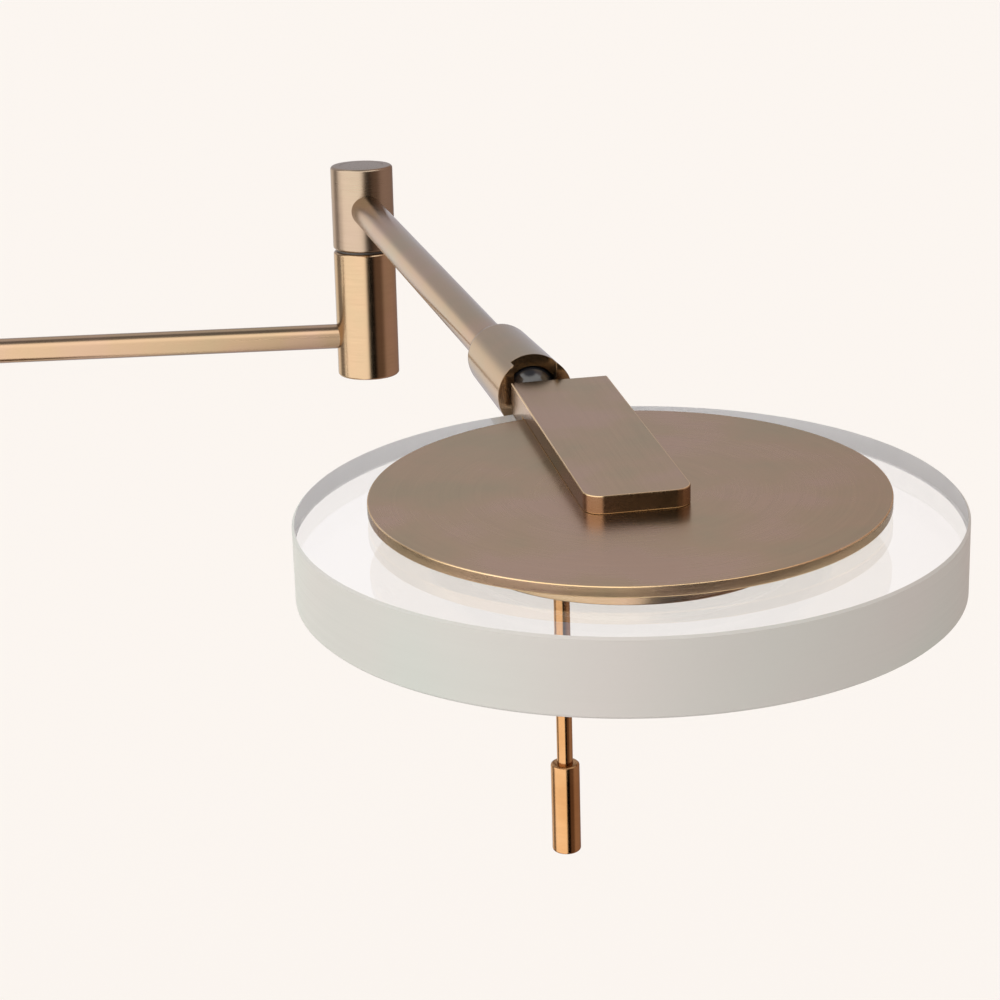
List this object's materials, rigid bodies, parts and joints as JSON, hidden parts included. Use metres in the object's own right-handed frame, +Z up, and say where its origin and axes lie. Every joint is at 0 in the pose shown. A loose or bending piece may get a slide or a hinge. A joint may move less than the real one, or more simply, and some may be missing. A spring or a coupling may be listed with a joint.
{
  "type": "swing arm desk lamp",
  "caption": "Desk lamp with a round weighted base, a swinging two-part arm and a tilting thick glass disc head under a bronze disc, with a hanging touch rod.",
  "frame": {"origin": "centre of the base's underside, on the table", "axes": "+Z up; +X along the first arm, from the column to the elbow, in the rest pose; the second arm then runs towards -Y"},
  "size_m": [0.4465, 0.5112, 0.4064],
  "materials": {
    "aged_bronze": "brushed aged bronze, clear lacquered",
    "polished_bronze": "satin polished bronze",
    "plain_brass": "turned brass",
    "zinc_plate": "bright zinc plated steel",
    "cast_weight": "raw cast iron",
    "foot_rubber": "matt black rubber sheet",
    "black_rubber": "matt black rubber",
    "nylon": "black nylon",
    "lead_sheath": "black PVC sheath",
    "black_gloss": "gloss black",
    "clear_glass": "clear faces, satin ground rim",
    "insert_aluminium": "satin anodised",
    "board_white": "white solder mask",
    "opal_plastic": "opal acrylic",
    "led_yellow": "phosphor cap"
  },
  "bodies": {
    "base": {"foot_pad": "foot_rubber", "base_bottom_plate": "zinc_plate", "base_weight": "cast_weight", "base_cover": "aged_bronze", "base_screws": "zinc_plate", "cable_grommet": "black_rubber", "column_tube": "aged_bronze", "column_flange": "aged_bronze", "column_stud": "zinc_plate", "column_washer": "zinc_plate", "column_nut": "zinc_plate", "shoulder_lower_barrel": "aged_bronze", "shoulder_pivot": "plain_brass", "shoulder_washer": "nylon", "shoulder_nut": "plain_brass", "base_lead": "lead_sheath"},
    "arm": {"shoulder_upper_barrel": "aged_bronze", "shoulder_cap": "aged_bronze", "first_arm_tube": "aged_bronze", "elbow_lower_barrel": "aged_bronze", "elbow_bottom_cap": "aged_bronze", "elbow_pivot": "plain_brass", "elbow_washer": "nylon", "elbow_nut": "plain_brass", "arm_lead": "lead_sheath"},
    "forearm": {"elbow_upper_barrel": "aged_bronze", "elbow_cap": "aged_bronze", "second_arm_tube": "aged_bronze", "swivel_bush": "plain_brass", "forearm_lead": "lead_sheath"},
    "socket": {"socket_collar": "aged_bronze", "ball_seat": "nylon", "seat_sleeve": "black_rubber", "socket_lead": "lead_sheath"},
    "head": {"ball": "black_gloss", "ball_stem": "black_gloss", "bracket": "aged_bronze", "top_disc": "aged_bronze", "bracket_screws": "zinc_plate", "glass_gasket": "black_rubber", "glass_disc": "clear_glass", "led_cup": "insert_aluminium", "led_board": "board_white", "diffuser": "opal_plastic", "bezel_ring": "aged_bronze", "bezel_screws": "zinc_plate", "insert_screws": "zinc_plate", "led_chips": "led_yellow", "touch_rod": "polished_bronze", "touch_knob": "polished_bronze", "head_lead": "lead_sheath"}
  },
  "joints": [
    {"name": "shoulder_swing", "type": "hinge", "parent": "base", "child": "arm", "pos_m": [0, 0, 0.3504], "axis": [0, 0, 1], "range_deg": [-150, 150]},
    {"name": "elbow_swing", "type": "hinge", "parent": "arm", "child": "forearm", "pos_m": [0.22, 0, 0.3929], "axis": [0, 0, 1], "range_deg": [-45, 200]},
    {"name": "socket_swivel", "type": "hinge", "parent": "forearm", "child": "socket", "pos_m": [0.22, 0, 0.3929], "axis": [0.1097, -0.994, 0], "range_deg": [-90, 90]},
    {"name": "head_tilt", "type": "hinge", "parent": "socket", "child": "head", "pos_m": [0.24754, -0.24948, 0.3929], "axis": [0.994, 0.1097, 0], "range_deg": [-45, 5]}
  ]
}
